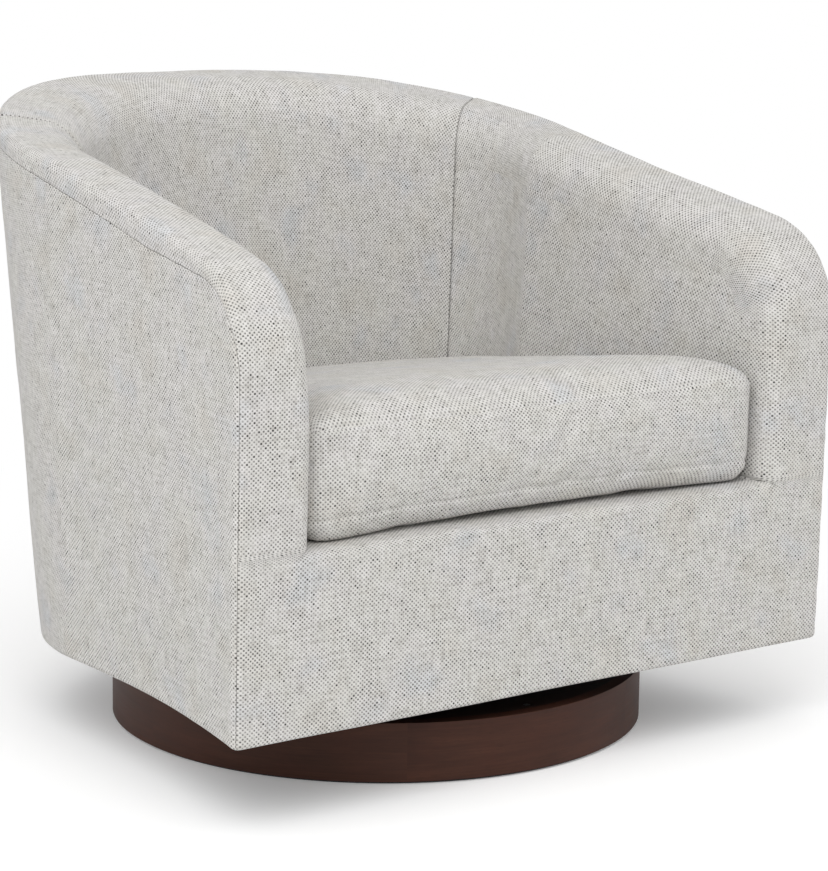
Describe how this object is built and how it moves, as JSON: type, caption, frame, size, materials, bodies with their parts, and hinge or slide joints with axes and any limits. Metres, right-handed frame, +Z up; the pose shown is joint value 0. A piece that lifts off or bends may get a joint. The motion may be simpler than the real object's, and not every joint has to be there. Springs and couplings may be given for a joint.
{
  "type": "swivel rocker chair",
  "caption": "Upholstered barrel armchair with a loose seat cushion that swivels and rocks gently on a low round wooden plinth.",
  "frame": {"origin": "on the floor under the swivel axis, the middle of the round plinth", "axes": "+Z up along the swivel axis, -Y towards the front of the seat, +X to the sitter's left"},
  "size_m": [0.8097, 0.7832, 0.7207],
  "materials": {
    "veneer": "walnut stain, satin lacquer",
    "dark_board": "dark stained fibreboard",
    "board": "bare board",
    "softwood": "bare pine",
    "felt": "pressed felt",
    "zinc_steel": "zinc plated",
    "bearing_steel": "ground and oiled",
    "black_steel": "black enamel",
    "spring_steel": "oil tempered wire",
    "nylon": "natural nylon",
    "rubber": "matte",
    "hardwood": "planed beech",
    "plywood": "bare plywood",
    "dust_cloth": "black spunbond cloth",
    "deck_felt": "needled felt with cloth",
    "upholstery": "heathered ivory hopsack"
  },
  "bodies": {
    "base": {"plinth_hoop": "veneer", "plinth_bottom_ring": "board", "plinth_top_board": "dark_board", "plinth_glue_blocks": "softwood", "plinth_felt_ring": "felt", "top_board_screws": "zinc_steel", "lower_swivel_plate": "black_steel", "lower_plate_screws": "zinc_steel", "lower_race": "bearing_steel"},
    "ball_ring": {"ball_cage": "bearing_steel", "bearing_balls": "bearing_steel"},
    "turntable": {"upper_race": "bearing_steel", "upper_swivel_plate": "black_steel", "rocker_cradle": "black_steel", "cradle_bolts": "zinc_steel", "cradle_nuts": "zinc_steel", "king_bolt": "zinc_steel", "king_nut": "zinc_steel", "pivot_pins": "zinc_steel", "lower_spring_cups": "black_steel", "rock_stops": "rubber", "rocker_spring_rear_right": "spring_steel", "rocker_spring_rear_left": "spring_steel", "rocker_spring_front_left": "spring_steel", "rocker_spring_front_right": "spring_steel"},
    "seat": {"pivot_bushes": "nylon", "seat_bracket_right": "black_steel", "seat_bracket_left": "black_steel", "upper_spring_cups": "black_steel", "cross_rail_front": "hardwood", "cross_rail_rear": "hardwood", "cross_rail_cleats": "softwood", "bracket_bolts": "zinc_steel", "bracket_nuts": "zinc_steel", "base_panel": "plywood", "dust_cover": "dust_cloth", "front_rail": "hardwood", "rear_rail": "hardwood", "side_rail_right": "hardwood", "side_rail_left": "hardwood", "corner_blocks": "softwood", "arm_frame_left": "plywood", "arm_frame_right": "plywood", "back_frame": "plywood", "deck_springs": "spring_steel", "spring_clips": "zinc_steel", "deck_pad": "deck_felt", "front_panel": "upholstery", "arm_pad_left": "upholstery", "arm_pad_right": "upholstery", "back_pad": "upholstery", "side_panel_left": "upholstery", "side_panel_right": "upholstery", "outside_back_panel": "upholstery"},
    "cushion": {"seat_cushion": "upholstery"}
  },
  "joints": [
    {"name": "swivel", "type": "hinge", "parent": "base", "child": "turntable", "pos_m": [0, 0, 0.075], "axis": [0, 0, 1], "continuous": true},
    {"name": "ball_roll", "type": "hinge", "parent": "base", "child": "ball_ring", "pos_m": [0, 0, 0.075], "axis": [0, 0, 1], "continuous": true},
    {"name": "rock", "type": "hinge", "parent": "turntable", "child": "seat", "pos_m": [0, 0, 0.15], "axis": [1, 0, 0], "range_deg": [-3, 3], "stiffness_Nm_per_rad": 780, "springref_deg": 2.02, "deforming": ["rocker_spring_rear_right", "rocker_spring_rear_left", "rocker_spring_front_left", "rocker_spring_front_right"]},
    {"name": "cushion_lift", "type": "slide", "parent": "seat", "child": "cushion", "axis": [0, 0, 1], "range_m": [0, 0.15]}
  ],
  "couplings": [
    {"joint": "ball_roll", "follows": "swivel", "ratio": 0.5}
  ]
}
